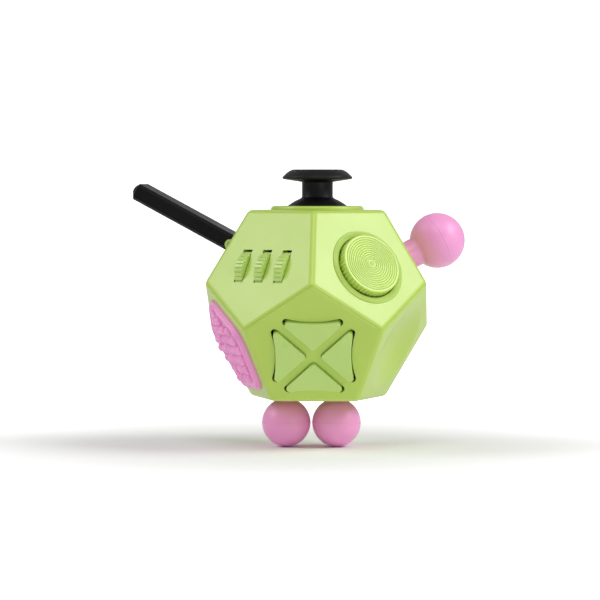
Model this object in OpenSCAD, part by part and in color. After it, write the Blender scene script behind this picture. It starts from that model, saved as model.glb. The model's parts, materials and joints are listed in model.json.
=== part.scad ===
// Twelve-sided fidget toy: a dodecahedral case of two shells with one mechanism on each face.
// Millimetres, +Z up. Everything is drawn about the middle of the case and then moved, so that
// the part's origin is under the middle of the whole toy, at the height of its lowest point.
// On a face, X runs to the right, Y up the face and Z out of it, with Z = 0 on the face.

/* [Case] */
// Distance between opposite faces of the case
across_flats = 50; // [49:0.5:60]
// Thickness of the shell walls
wall = 2.2; // [1.8:0.1:2.7]
// Rounding of the outer edges
edge_round = 2.1; // [0.8:0.1:2.5]
// Open line between the two shells
seam_gap = 0.06; // [0.05:0.01:0.3]
// Height of the lip that centres the upper shell on the lower one
lip_height = 1.5; // [1:0.1:2]

/* [Fits] */
// Radial gap of a pin or shaft that turns in its bore
running_gap = 0.05; // [0.02:0.01:0.1]
// Radial gap of a pin or screw that stays still in its hole
press_gap = 0.01; // [0.01:0.01:0.03]
// Gap beside a sliding key
key_gap = 0.15; // [0.1:0.01:0.3]

/* [Joystick] */
// Radius of the thumb cap
cap_radius = 9.3; // [8:0.1:11.2]
// Height of the cap's top over the top face
cap_height = 10.65; // [10:0.05:12.8]
// Radius of the stem under the cap
stem_radius = 4.1; // [3.4:0.1:5]
// Outer radius of the domed skirt that fills the hole
skirt_radius = 12.5; // [12:0.1:12.9]
// Depth of the joystick's pivot under the top face
pivot_depth = 8.7; // [8.2:0.1:9.2]
// Radius of the raised ring round the hole
bezel_radius = 12.3; // [10.6:0.1:13]
// Height of the raised ring
bezel_height = 1; // [0.8:0.1:1.6]
// Radius of the joystick's inner shaft
shaft_radius = 2.2; // [1.8:0.1:2.7]

/* [Rollers] */
// Radius of a toothed roller
gear_radius = 5.6; // [5:0.1:5.8]
// Thickness of a toothed roller
gear_width = 2.5; // [2:0.1:3]
// Distance from one roller to the next
gear_pitch = 6.65; // [5.6:0.05:7]
// How far the rollers sit from the middle of their face, up the face
gear_shift = -1.1; // [-1.5:0.1:0]
// Height of a roller over the face
gear_proud = 1.8; // [1.2:0.1:2.2]
// Number of teeth on a roller
gear_teeth = 30; // [20:1:36]
// Radius of the rollers' axle
axle_radius = 1; // [0.8:0.1:1.2]

/* [Dial] */
// Radius of the dial
dial_radius = 8.35; // [7:0.05:10]
// How far the dial sits to the right of the middle of its face
dial_right = 0.6; // [0:0.1:1]
// How far the dial sits over the middle of its face
dial_up = -1.1; // [-1.5:0.1:0]
// Height of the dial over the face
dial_height = 2.3; // [1.6:0.1:2.8]
// Radius of the dial's shaft
dial_shaft_radius = 2; // [1.6:0.1:2.4]
// Number of rings cut in the dial's top
dial_rings = 13; // [6:1:15]
// Number of notches round the dial
dial_notches = 48; // [30:1:60]

/* [Arrow keys] */
// Distance from the middle of the keys to an outer corner, square to the outer side
key_reach = 10.8; // [9.6:0.1:11]
// Half the width of a key's outer side
key_half_width = 9; // [8:0.1:9.4]
// Distance from the middle of the keys to the point of a key, before it is rounded
key_inner = 1.75; // [1.5:0.05:2.2]
// Height of the keys over the face
key_proud = 1; // [0.8:0.1:1.4]
// Travel of every key
key_travel = 1; // [0.6:0.1:1.2]

/* [Lever] */
// Length of the lever from the face to its tip
lever_reach = 35.4; // [24:0.1:42.5]
// Width of the lever along its pin
lever_width = 7; // [5:0.1:8.4]
// Thickness of the lever
lever_thickness = 4.6; // [3.8:0.1:4.8]
// Radius of the lever's pin
lever_pin_radius = 0.8; // [0.6:0.1:1]

/* [Balls] */
// Radius of the single ball
ball_radius = 7.45; // [6:0.05:9]
// Distance from the face to the middle of the single ball
ball_reach = 12.3; // [11.5:0.1:15]
// Radius of the single ball's neck
neck_radius = 3.82; // [3:0.01:4.6]
// Radius of each of the two lower balls
twin_radius = 6.5; // [5.4:0.1:6.6]
// Distance between the middles of the two lower balls
twin_spacing = 13.4; // [13.3:0.1:14]
// Radius of the steel ball
roller_radius = 5.5; // [4.5:0.1:6.6]

/* [Pads] */
// Distance from the middle of the massage pad to its sides
pad_inradius = 12.2; // [10:0.1:12.4]
// Height of a nub over the face
nub_height = 2.8; // [2:0.1:4.2]
// Distance from one nub to the next
nub_pitch = 3.3; // [2.8:0.1:5]
// Radius of the thumb dish
dish_radius = 12.4; // [10:0.1:12.8]
// Depth of the thumb dish
dish_depth = 2.3; // [1.5:0.1:2.8]

/* [Rocker and click keys] */
// Radius of the rocker's curved ends about its pin
rocker_radius = 7.2; // [6.4:0.1:7.6]
// Width of the rocker along its pin
rocker_width = 9; // [7:0.1:10.8]
// Angle that the rocker leans to each side
rocker_lean = 9; // [6:1:11]
// Radius of a round click key
click_radius = 2.6; // [2.1:0.1:3.1]
// Distance from the middle of the face to a click key
click_ring = 8; // [7.4:0.1:8.4]

/* [Hidden] */

$fn = 64;
// Facets of the balls that round the case's corners
corner_fn = 32;
// How far a cutter runs past what it cuts
over = 1;
// How far a piece of one moulding runs into the rest of it
bite = 0.4;

// Geometry of the dodecahedron
inr = across_flats / 2;
cavity_inr = inr - wall;
// Latitude of the five upper faces
tilt = atan(1 / 2);
side_turn = 72;
golden = (1 + sqrt(5)) / 2;
// Radii and heights of its rings of corners, for a case of half width 1
end_ring = 2 * (2 - golden);
middle_ring = 2 * (golden - 1);
middle_rise = golden * golden * golden - 4;
// The face's own size: distance to its sides over the half width of the case
face_share = golden - 1;

// Azimuths of the faces; the upper ones lean up and the lower ones down
gear_az = -126;
dial_az = -54;
ball_az = 18;
rocker_az = 90;
lever_az = 162;
keys_az = -90;
dish_az = -18;
steel_az = 54;
click_az = 126;
pad_az = -162;

// Joystick, measured from its pivot
skirt_wall = 1;
skirt_low = 4;
stem_top = pivot_depth + cap_height - 3.3;
cap_rim = stem_top + 1.1;
cap_top = pivot_depth + cap_height;
skirt_gap = 0.4;
hole_radius = sqrt(skirt_radius * skirt_radius - pivot_depth * pivot_depth) + key_gap;
pin_radius = 0.8;
ring_inner = stem_radius;
ring_outer = ring_inner + 2.4;
ring_height = 3;
cup_inner = ring_outer + 1.2;
cup_wall = 1.4;
cup_outer = cup_inner + cup_wall;
cup_top = 2.1;
cup_floor = -11;
floor_thickness = 1.2;
plate_top = -1.3;
plate_thickness = 1.6;
lobe_ring = skirt_radius + 2;
lobe_radius = 1.7;
foot_low = -5.1;
foot_radius = 5;
spring_radius = 3.5;
spring_wire = 0.4;
spring_turns = 4;

// Screws
screw_radius = 0.6;
screw_head = 1.15;
screw_head_height = 0.8;
post_radius = 1.25;

// Toothed rollers
gear_depth = gear_radius - gear_proud;
gear_sweep = gear_radius + 0.25;
// How much further a slot runs over its roller than under it
slot_lead = 0.5;
gear_slot = gear_width + 0.55;
tooth_depth = 0.35;
hub_radius = axle_radius + 1.1;
hub_length = gear_slot - 0.2;
ear_thickness = 1.6;
ear_start = gear_pitch + hub_length / 2 + 0.25;
rail_start = gear_sweep + slot_lead;
rail_width = 1;
// Half the length and half the width of the cradle
cradle_length = ear_start + ear_thickness;
cradle_width = rail_start + rail_width;
cradle_lobe = 8.3;
cradle_low = -gear_depth - axle_radius - 1;

// Dial
ring_round = 1.1;
ring_rise = 0.45;
recess_radius = dial_radius + 0.3;
recess_depth = 0.6;
ring_middle = recess_radius + 0.9;
dial_boss_low = -wall - 1.8;
clip_thickness = 0.6;
clip_groove = 0.5;

// Keys with a rubber membrane behind them
flange_gap = 0.2;
flange_thickness = 1;
flange_low = -wall - flange_gap - flange_thickness;
key_flange = 0.5;
key_corner = 0.9;
key_bevel = 0.45;
key_bow = 1;
keys_middle = -1.7;
key_dome_place = (key_inner + 2 * key_reach) / 3;
sheet_top = flange_low - 1.6;
sheet_thickness = 0.6;
backplate_thickness = 1;
backplate_radius = 10.6;
key_plate_radius = 13.1;
dome_gap = 0.05;
key_post_ring = 11.85;
click_post_ring = 8.6;
click_flange = 0.6;
click_proud = 1.2;

// Massage pad
pad_depth = 1;
pad_top = 0.4;
pad_corner = 5.5;
border_width = 0.8;
border_top = 0.8;
groove_width = 0.4;
groove_low = 0.1;
nub_radius = 1.25;
nub_margin = 2.7;
peg_radius = 1.3;
peg_ring = 8;

// Lever
lever_offset = 3.7;
face_gap = 0.3;
lever_pivot = lever_thickness / 2 + face_gap;
lever_side_gap = 0.25;
lug_thickness = 1.6;
lug_radius = lever_pin_radius + 0.6;
lever_bevel = 0.7;
lever_tip_bevel = 1.2;

// Single ball
bend_height = 3.4;
bend_gap = 0.3;
anchor_flange = 1.7;
anchor_thickness = 1.3;

// Two lower balls
twin_gap = 0.1;
twin_shift = -1.6;
twin_drop = twin_radius + twin_gap;
twin_pivot = 1.5;
twin_dish = 0.8;
twin_dish_radius = 5.2;
twin_neck = 2.4;
twin_tip = 1.4;

// Rocker
rocker_pin_radius = 0.9;
rocker_depth = rocker_pin_radius + 2.3;
rocker_sweep = rocker_radius + 0.2;
rocker_end_angle = 35;
rocker_low_angle = -10;
rocker_saddle = 3.6;
rocker_side_gap = 0.2;

// Steel ball
steel_depth = 0.44 * roller_radius;
steel_gap = 0.12;
cup_thickness = 1.8;
cup_flange_ring = roller_radius + 4;

// Move from the middle of the case to the part's origin
face_out = cos(tilt);
face_up = sin(tilt);
ball_east = cos(ball_az) * face_out * (inr + ball_reach) + ball_radius;
tip_half_thickness = lever_thickness / 2 - lever_tip_bevel;
tip_half_width = lever_width / 2 - lever_tip_bevel - lever_bevel;
lever_out = face_out * (inr + lever_reach) + face_up * (tip_half_thickness - lever_offset);
lever_west = -cos(lever_az) * lever_out + sin(lever_az) * tip_half_width;
case_place = [(lever_west - ball_east) / 2, 0, inr + twin_drop + twin_radius];

// Colours
lime = [0.80, 0.89, 0.58];
leaf = [0.70, 0.84, 0.47];
pale_lime = [0.88, 0.95, 0.66];
rose = [0.96, 0.72, 0.85];
black = [0.07, 0.07, 0.08];
steel = [0.75, 0.76, 0.78];
white = [0.92, 0.92, 0.90];

// ---- Placing ----

module placed() {
    translate(case_place) children();
}

// Children on the face whose normal has this azimuth and latitude
module on_face(azimuth, latitude) {
    rotate([0, 0, azimuth])
        rotate([0, 90 - latitude, 0])
            rotate([0, 0, 90])
                translate([0, 0, inr]) children();
}

// Children at the middle of the rollers, with Z = 0 on the face
module on_gears() {
    on_face(gear_az, tilt) translate([0, gear_shift, 0]) children();
}

// Children at the middle of the dial
module on_dial() {
    on_face(dial_az, tilt) translate([dial_right, dial_up, 0]) children();
}

// Children at the joystick's pivot
module at_pivot() {
    translate([0, 0, inr - pivot_depth]) children();
}

module around(count, radius, start = 0) {
    for (i = [0:count - 1])
        rotate([0, 0, start + i * 360 / count])
            translate([radius, 0, 0]) children();
}

// ---- Shapes that repeat ----

// Twelve flat faces at this distance from the middle
module dodecahedron(r) {
    intersection() {
        cube([4 * r, 4 * r, 2 * r], center = true);
        intersection_for(i = [0:4])
            rotate([0, 0, gear_az + side_turn * i])
                rotate([0, 90 - tilt, 0])
                    cube([4 * r, 4 * r, 2 * r], center = true);
    }
}

function ring_point(r, azimuth, z) = [r * cos(azimuth), r * sin(azimuth), z];

// The twenty corners of a case of half width r
function corners(r) = [
    for (i = [0:4]) ring_point(end_ring * r, keys_az + side_turn * i, r),
    for (i = [0:4]) ring_point(middle_ring * r, keys_az + side_turn * i, middle_rise * r),
    for (i = [0:4]) ring_point(middle_ring * r, dial_az + side_turn * i, -middle_rise * r),
    for (i = [0:4]) ring_point(end_ring * r, dial_az + side_turn * i, -r)];

module rounded_case() {
    hull()
        for (p = corners(inr - edge_round))
            translate(p) sphere(edge_round, $fn = corner_fn);
}

// The zigzag line between the shells runs along the ten middle edges: all that is above it
module above_seam(shift) {
    reach = 2 * inr;
    top = 3 * inr;
    count = 10;
    low = [for (i = [0:count - 1])
        ring_point(middle_ring * reach, keys_az + i * 36, middle_rise * reach * (i % 2 == 0 ? 1 : -1))];
    high = [for (p = low) [p[0], p[1], top]];
    floor_faces = [for (i = [0:count - 1]) [0, 1 + i, 1 + (i + 1) % count]];
    side_faces = [for (i = [0:count - 1])
        [1 + i, 1 + count + i, 1 + count + (i + 1) % count, 1 + (i + 1) % count]];
    top_face = [for (i = [count - 1:-1:0]) 1 + count + i];
    translate([0, 0, shift])
        polyhedron(points = concat([[0, 0, 0]], low, high),
            faces = concat(floor_faces, side_faces, [top_face]), convexity = 4);
}

module shell_wall() {
    difference() {
        rounded_case();
        dodecahedron(cavity_inr);
    }
}

// A screw that points up, with its head under Z = 0
module screw(length) {
    difference() {
        union() {
            translate([0, 0, -screw_head_height]) cylinder(r = screw_head, h = screw_head_height);
            cylinder(r = screw_radius, h = length);
        }
        translate([0, 0, -screw_head_height])
            cube([2 * screw_head + over, 0.35, 0.7], center = true);
    }
}

// A cylinder along X
module across(r, length) {
    rotate([0, 90, 0]) cylinder(r = r, h = length, center = true);
}

// ---- Upper shell ----

module upper_shell_bosses() {
    boss_low = inr - pivot_depth + plate_top;
    around(5, lobe_ring, keys_az)
        translate([0, 0, boss_low])
            cylinder(r = lobe_radius, h = inr - wall + bite - boss_low);
    on_dial()
        translate([0, 0, dial_boss_low])
            cylinder(r = dial_shaft_radius + 2, h = -wall + bite - dial_boss_low);
    on_face(rocker_az, tilt) rocker_ears();
}

module upper_shell_raised() {
    translate([0, 0, inr - bite]) bezel();
    on_dial()
        rotate_extrude()
            translate([ring_middle, ring_rise - ring_round]) circle(ring_round);
    on_face(lever_az, tilt) lever_lugs();
}

// Raised ring round the joystick, with rounded top edges
module bezel() {
    round = 0.8;
    flat_top = bite + bezel_height - round;
    cylinder(r = bezel_radius, h = flat_top);
    cylinder(r = bezel_radius - round, h = flat_top + round);
    translate([0, 0, flat_top])
        rotate_extrude()
            translate([bezel_radius - round, 0]) circle(round);
}

module lever_lugs() {
    place = lever_width / 2 + lever_side_gap + lug_thickness / 2;
    for (side = [-1, 1])
        translate([side * place, lever_offset, 0]) {
            translate([0, 0, lever_pivot]) across(lug_radius, lug_thickness);
            translate([-lug_thickness / 2, -lug_radius, -bite])
                cube([lug_thickness, 2 * lug_radius, lever_pivot + bite]);
        }
}

module rocker_ears() {
    place = rocker_width / 2 + rocker_side_gap + ear_thickness / 2;
    ear_radius = rocker_pin_radius + 1;
    for (side = [-1, 1])
        translate([side * place, 0, -rocker_depth]) {
            across(ear_radius, ear_thickness);
            translate([-ear_thickness / 2, -ear_radius, 0])
                cube([ear_thickness, 2 * ear_radius, rocker_depth - wall + bite]);
        }
}

module upper_shell_cuts() {
    at_pivot() {
        sphere(skirt_radius + skirt_gap);
        cylinder(r = hole_radius, h = pivot_depth + bezel_height + over);
    }
    around(5, lobe_ring, keys_az)
        translate([0, 0, inr - pivot_depth + plate_top - over])
            cylinder(r = screw_radius + press_gap, h = 5.2 + over);
    on_gears() {
        for (i = [-1:1], lead = [0, slot_lead])
            translate([i * gear_pitch, lead, -gear_depth]) across(gear_sweep, gear_slot);
        cradle_screw_holes(-wall - over);
    }
    on_dial() {
        translate([0, 0, -recess_depth]) cylinder(r = recess_radius, h = recess_depth + over);
        translate([0, 0, dial_boss_low - over])
            cylinder(r = dial_shaft_radius + running_gap, h = wall + over + 3);
    }
    on_face(rocker_az, tilt) {
        translate([0, 0, -rocker_depth]) {
            across(rocker_sweep, rocker_width + 2 * rocker_side_gap);
            across(rocker_pin_radius + press_gap, 2 * rocker_width);
        }
    }
    on_face(lever_az, tilt)
        translate([0, lever_offset, lever_pivot])
            across(lever_pin_radius + press_gap, 2 * lever_width);
    on_face(ball_az, tilt)
        translate([0, 0, -wall - over]) cylinder(r = neck_radius + press_gap, h = wall + 2 * over);
}

module cradle_screw_holes(low) {
    for (side = [-1, 1])
        translate([0, side * cradle_lobe, low])
            cylinder(r = screw_radius + press_gap, h = over + 1.5);
}

module upper_shell() {
    color(lime) placed() difference() {
        union() {
            intersection() {
                shell_wall();
                above_seam(0);
            }
            upper_shell_raised();
            upper_shell_bosses();
        }
        upper_shell_cuts();
    }
}

// ---- Lower shell ----

// A lip inside the seam: under the line it is one with the wall, over it it stands free
module centring_lip() {
    lip = 1;
    difference() {
        union() {
            intersection() {
                dodecahedron(cavity_inr + bite);
                difference() {
                    above_seam(-lip_height);
                    above_seam(-seam_gap);
                }
            }
            intersection() {
                dodecahedron(cavity_inr - key_gap);
                difference() {
                    above_seam(-lip_height);
                    above_seam(lip_height);
                }
            }
        }
        dodecahedron(cavity_inr - key_gap - lip);
    }
}

module key_posts() {
    around(4, key_post_ring)
        translate([0, 0, sheet_top]) cylinder(r = post_radius, h = -wall + bite - sheet_top);
}

module click_posts() {
    around(5, click_post_ring, 90 + 36)
        translate([0, 0, sheet_top]) cylinder(r = post_radius, h = -wall + bite - sheet_top);
}

// Wall behind the thumb dish, in one with the shell
module dish_back() {
    translate([0, 0, -wall])
        rotate_extrude() dish_profile(dish_radius, dish_depth);
}

// Half section of a dish with a soft rim
module dish_profile(radius, depth) {
    steps = 18;
    polygon(concat(
        [for (i = [0:steps])
            [radius * i / steps, -depth * pow(1 - pow(i / steps, 2), 1.3)]],
        [[radius, over / 2], [0, over / 2]]));
}

module twin_dish_cuts() {
    sphere_r = (twin_dish_radius * twin_dish_radius + twin_dish * twin_dish) / (2 * twin_dish);
    for (side = [-1, 1])
        translate([twin_shift + side * twin_spacing / 2, 0, -inr]) {
            translate([0, 0, twin_dish - sphere_r]) sphere(sphere_r);
            translate([0, 0, -over]) cylinder(r = twin_neck + press_gap, h = wall + 2 * over);
        }
}

// Room in the lip for what stands behind the wall: the keys' flanges and the rollers' cradle
module lip_cuts() {
    on_face(keys_az, -tilt)
        translate([0, keys_middle, flange_low - key_travel - over])
            for (i = [0:3])
                rotate([0, 0, 90 * i])
                    linear_extrude(key_travel + over + flange_thickness + flange_gap / 2)
                        key_outline(key_flange + key_gap);
    on_gears()
        translate([0, 0, (cradle_low - wall) / 2])
            cube([2 * (cradle_length + key_gap), 2 * (cradle_width + key_gap), -wall - cradle_low], center = true);
}

module lower_shell_cuts() {
    on_face(keys_az, -tilt)
        translate([0, keys_middle, 0]) {
            for (i = [0:3])
                rotate([0, 0, 90 * i])
                    translate([0, 0, -wall - over])
                        linear_extrude(wall + 2 * over) key_outline(key_gap);
            around(4, key_post_ring) post_hole();
        }
    on_face(click_az, -tilt) {
        around(5, click_ring, 90)
            translate([0, 0, -wall - over])
                cylinder(r = click_radius + key_gap, h = wall + 2 * over);
        around(5, click_post_ring, 90 + 36) post_hole();
    }
    on_face(dish_az, -tilt)
        rotate_extrude() dish_profile(dish_radius, dish_depth);
    on_face(pad_az, -tilt) {
        translate([0, 0, -pad_depth])
            linear_extrude(pad_depth + over) pad_outline(press_gap);
        around(3, peg_ring, 90)
            translate([0, 0, -wall - over])
                cylinder(r = peg_radius + press_gap, h = wall + over);
    }
    on_face(steel_az, -tilt) {
        translate([0, 0, -steel_depth]) sphere(roller_radius + steel_gap);
        around(3, cup_flange_ring, 90)
            translate([0, 0, -wall - over])
                cylinder(r = screw_radius + press_gap, h = over + 1.5);
    }
    twin_dish_cuts();
}

module post_hole() {
    translate([0, 0, sheet_top - over]) cylinder(r = screw_radius + press_gap, h = over + 2.6);
}

module lower_shell() {
    color(lime) placed() difference() {
        union() {
            difference() {
                shell_wall();
                above_seam(-seam_gap);
            }
            difference() {
                centring_lip();
                lip_cuts();
            }
            on_face(keys_az, -tilt) translate([0, keys_middle, 0]) key_posts();
            on_face(click_az, -tilt) click_posts();
            on_face(dish_az, -tilt) dish_back();
        }
        lower_shell_cuts();
    }
}

// ---- Joystick ----

// Half section of the thumb cap, from its stem to its dished top
module cap_section() {
    dish_r = cap_radius - 4.3;
    rim_r = cap_radius - 2.3;
    polygon([
        [0, stem_top - over], [stem_radius, stem_top - over], [stem_radius, stem_top],
        [cap_radius - 0.3, cap_rim - 0.25], [cap_radius, cap_rim + 0.1],
        [cap_radius - 0.15, cap_rim + 0.6], [cap_radius - 0.7, cap_rim + 1.3],
        [cap_radius - 1.5, cap_top - 0.25], [rim_r, cap_top],
        [dish_r + 0.4, cap_top], [dish_r, cap_top - 0.25],
        [dish_r * 0.7, cap_top - 0.75], [dish_r * 0.35, cap_top - 1], [0, cap_top - 1.05]]);
}

module joystick_cap() {
    notch_width = 1;
    notch_depth = 0.35;
    shaft_bore = skirt_radius + 1.5;
    color(black) placed() at_pivot() difference() {
        union() {
            intersection() {
                difference() {
                    sphere(skirt_radius);
                    sphere(skirt_radius - skirt_wall);
                }
                translate([0, 0, skirt_low]) cylinder(r = 2 * skirt_radius, h = skirt_radius);
            }
            translate([0, 0, skirt_low + over])
                cylinder(r = stem_radius, h = stem_top - skirt_low - over - bite);
            rotate_extrude() cap_section();
        }
        cylinder(r = shaft_radius + press_gap, h = shaft_bore);
        around(4, cap_radius - 3.3, 45)
            translate([0, 0, cap_top])
                cube([3.4, notch_width, 2 * notch_depth], center = true);
    }
}

module joystick_shaft() {
    top = skirt_radius + 1.4;
    color(white) placed() at_pivot() difference() {
        union() {
            translate([0, 0, foot_low]) cylinder(r = shaft_radius, h = top - foot_low);
            translate([0, 0, foot_low]) cylinder(r = foot_radius, h = 1);
        }
        rotate([0, 0, 90]) across(pin_radius + press_gap, 3 * shaft_radius);
    }
}

module joystick_cross_pin() {
    color(steel) placed() at_pivot()
        rotate([0, 0, 90]) across(pin_radius, 2 * ring_outer - 0.6);
}

module gimbal_ring() {
    stub = cup_outer - 0.2 - ring_inner - bite;
    color(white) placed() at_pivot() difference() {
        union() {
            cylinder(r = ring_outer, h = ring_height, center = true);
            for (side = [-1, 1])
                translate([side * (ring_inner + bite + stub / 2), 0, 0]) across(pin_radius, stub);
        }
        cylinder(r = ring_inner, h = ring_height + over, center = true);
        rotate([0, 0, 90]) across(pin_radius + running_gap, 3 * ring_outer);
    }
}

module joystick_base() {
    snap_width = 1.3;
    color(white) placed() at_pivot() difference() {
        union() {
            translate([0, 0, cup_floor]) cylinder(r = cup_outer, h = cup_top - cup_floor);
            translate([0, 0, plate_top - plate_thickness])
                cylinder(r = lobe_ring - 2, h = plate_thickness);
            around(5, lobe_ring, keys_az)
                translate([0, 0, plate_top - plate_thickness]) {
                    cylinder(r = lobe_radius, h = plate_thickness);
                    translate([-3, -lobe_radius, 0]) cube([3, 2 * lobe_radius, plate_thickness]);
                }
        }
        translate([0, 0, cup_floor + floor_thickness])
            cylinder(r = cup_inner, h = cup_top - cup_floor + over);
        across(pin_radius + running_gap, 3 * cup_outer);
        translate([-2 * cup_outer, -snap_width / 2, 0])
            cube([4 * cup_outer, snap_width, cup_top + over]);
        around(5, lobe_ring, keys_az)
            translate([0, 0, plate_top - plate_thickness - over])
                cylinder(r = screw_radius + press_gap, h = plate_thickness + 2 * over);
    }
}

// A round wire wound as a helix, closed by flat ends
module helix(radius, wire, height, turns) {
    sides = 6;
    steps = 16 * turns;
    points = [for (i = [0:steps], j = [0:sides - 1])
        let (a = 360 * turns * i / steps, b = 360 * j / sides, r = radius + wire * cos(b))
        [r * cos(a), r * sin(a), wire + (height - 2 * wire) * i / steps + wire * sin(b)]];
    side_faces = [for (i = [0:steps - 1], j = [0:sides - 1])
        let (k = (j + 1) % sides)
        [i * sides + j, (i + 1) * sides + j, (i + 1) * sides + k, i * sides + k]];
    start = [for (j = [0:sides - 1]) j];
    end = [for (j = [sides - 1:-1:0]) steps * sides + j];
    polyhedron(points = points, faces = concat(side_faces, [start, end]), convexity = 10);
}

module joystick_return_spring() {
    low = cup_floor + floor_thickness;
    color(steel) placed() at_pivot()
        translate([0, 0, low]) helix(spring_radius, spring_wire, foot_low - low, spring_turns);
}

module joystick_base_screws() {
    color(steel) placed() at_pivot()
        around(5, lobe_ring, keys_az)
            translate([0, 0, plate_top - plate_thickness]) screw(plate_thickness + 5);
}

// ---- Toothed rollers ----

module gear_outline() {
    root = gear_radius - tooth_depth;
    step = 360 / gear_teeth;
    tooth = [[0.04, root], [0.16, gear_radius], [0.76, gear_radius], [0.88, root]];
    polygon([for (i = [0:gear_teeth - 1], c = tooth)
        [c[1] * cos(step * (i + c[0])), c[1] * sin(step * (i + c[0]))]]);
}

module toothed_roller(i) {
    color(leaf) placed() on_gears()
        translate([i * gear_pitch, 0, -gear_depth])
            rotate([0, 90, 0]) difference() {
                union() {
                    linear_extrude(gear_width, center = true) gear_outline();
                    cylinder(r = hub_radius, h = hub_length, center = true);
                }
                cylinder(r = axle_radius + running_gap, h = 2 * hub_length, center = true);
            }
}

module roller_axle() {
    color(steel) placed() on_gears()
        translate([0, 0, -gear_depth]) across(axle_radius, 2 * cradle_length);
}

module roller_cradle() {
    rail_height = 2.4;
    color(white) placed() on_gears() difference() {
        union() {
            for (side = [-1, 1]) {
                translate([side * (ear_start + ear_thickness / 2), 0, (cradle_low - wall) / 2])
                    cube([ear_thickness, 2 * cradle_width, -wall - cradle_low], center = true);
                translate([0, side * (rail_start + rail_width / 2), -wall - rail_height / 2])
                    cube([2 * cradle_length, rail_width, rail_height], center = true);
                translate([0, side * cradle_lobe, -wall - rail_height])
                    cylinder(r = 1.8, h = rail_height);
            }
        }
        translate([0, 0, -gear_depth]) {
            across(axle_radius + press_gap, 3 * cradle_length);
            for (lead = [0, slot_lead])
                translate([0, lead, 0]) across(gear_sweep, 2 * gear_pitch + gear_slot);
        }
        for (side = [-1, 1])
            translate([0, side * cradle_lobe, -wall - rail_height - over])
                cylinder(r = screw_radius + press_gap, h = rail_height + 2 * over);
    }
}

module roller_cradle_screws() {
    color(steel) placed() on_gears()
        for (side = [-1, 1])
            translate([0, side * cradle_lobe, -wall - 2.4]) screw(2.4 + 1.4);
}

// ---- Dial ----

// Half section of the knob: a shaft with a groove, and a top cut with rings
module dial_section() {
    low = -recess_depth + 0.2;
    end = dial_boss_low - 1.6;
    groove_top = dial_boss_low - 0.15;
    ring_start = 1.2;
    ring_step = (dial_radius - 0.7 - ring_start) / dial_rings;
    ring_cut = 0.22;
    shaft = dial_shaft_radius;
    polygon(concat(
        [[0, end], [shaft, end], [shaft, groove_top - clip_thickness],
            [shaft - clip_groove, groove_top - clip_thickness],
            [shaft - clip_groove, groove_top], [shaft, groove_top], [shaft, low],
            [dial_radius - 0.3, low], [dial_radius, low + 0.3],
            [dial_radius, dial_height - 0.5], [dial_radius - 0.5, dial_height]],
        [for (i = [dial_rings - 1:-1:0], c = [[0.8, 0], [0.4, ring_cut], [0.1, 0]])
            [ring_start + ring_step * (i + c[0]), dial_height - c[1]]],
        [[0.7, dial_height], [0.35, dial_height + 0.25], [0, dial_height + 0.3]]));
}

module dial_knob() {
    notch = 0.3;
    color(pale_lime) placed() on_dial() difference() {
        rotate_extrude() dial_section();
        around(dial_notches, dial_radius + 0.1)
            translate([0, 0, -over]) cylinder(r = notch, h = dial_height + 2 * over, $fn = 16);
    }
}

module dial_retaining_clip() {
    color(steel) placed() on_dial()
        translate([0, 0, dial_boss_low - 0.15 - clip_thickness + 0.02]) difference() {
            cylinder(r = dial_shaft_radius + 1.5, h = clip_thickness - 0.04);
            translate([0, 0, -over])
                cylinder(r = dial_shaft_radius - clip_groove + press_gap, h = 2 * over + clip_thickness);
            translate([0, -0.9, -over]) cube([2 * dial_shaft_radius, 1.8, 2 * over + clip_thickness]);
        }
}

// ---- Arrow keys ----

function arc_points(centre, r, from, to, steps) = [
    for (i = [0:steps])
        let (a = from + (to - from) * i / steps)
        [centre[0] + r * cos(a), centre[1] + r * sin(a)]];

// A three-cornered key that points at the middle, with a hollow outer side
module key_outline(grow) {
    r = key_corner + grow;
    lean = atan(key_half_width / (key_reach - key_inner));
    side = key_half_width - key_corner / tan((90 - lean) / 2);
    outer = key_reach - key_corner;
    tip = key_inner + key_corner / sin(lean);
    steps = 8;
    hollow = [for (i = [1:steps - 1])
        let (t = 2 * i / steps - 1)
        [key_reach + grow - key_bow * (1 - t * t), side * t]];
    polygon(concat(
        arc_points([outer, side], r, 0, 90 + lean, steps),
        arc_points([tip, 0], r, 90 + lean, 270 - lean, steps),
        arc_points([outer, -side], r, 270 - lean, 360, steps),
        hollow));
}

module arrow_key(i) {
    slope = 0.91;
    middle = 0.66 * key_reach;
    color(leaf) placed() on_face(keys_az, -tilt)
        translate([0, keys_middle, 0])
            rotate([0, 0, 90 * i]) {
                translate([0, 0, flange_low])
                    linear_extrude(flange_thickness) key_outline(key_flange);
                translate([0, 0, flange_low])
                    linear_extrude(key_proud - key_bevel - flange_low) key_outline(0);
                translate([middle, 0, key_proud - key_bevel])
                    linear_extrude(key_bevel, scale = slope)
                        translate([-middle, 0]) key_outline(0);
            }
}

// Rubber sheet with one dome behind each key
module membrane(radius, count, ring, start, foot, posts, post_ring, post_start) {
    dome = flange_low - dome_gap - sheet_top;
    difference() {
        union() {
            translate([0, 0, sheet_top - sheet_thickness])
                cylinder(r = radius, h = sheet_thickness);
            around(count, ring, start)
                translate([0, 0, sheet_top - bite])
                    cylinder(r1 = foot, r2 = foot - 0.8, h = dome + bite);
        }
        around(posts, post_ring, post_start)
            translate([0, 0, sheet_top - sheet_thickness - over])
                cylinder(r = screw_radius + press_gap, h = sheet_thickness + 2 * over);
    }
}

module backplate(radius, posts, post_ring, post_start) {
    low = sheet_top - sheet_thickness - backplate_thickness;
    difference() {
        translate([0, 0, low]) cylinder(r = radius, h = backplate_thickness);
        around(posts, post_ring, post_start)
            translate([0, 0, low - over])
                cylinder(r = screw_radius + press_gap, h = backplate_thickness + 2 * over);
    }
}

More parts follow.
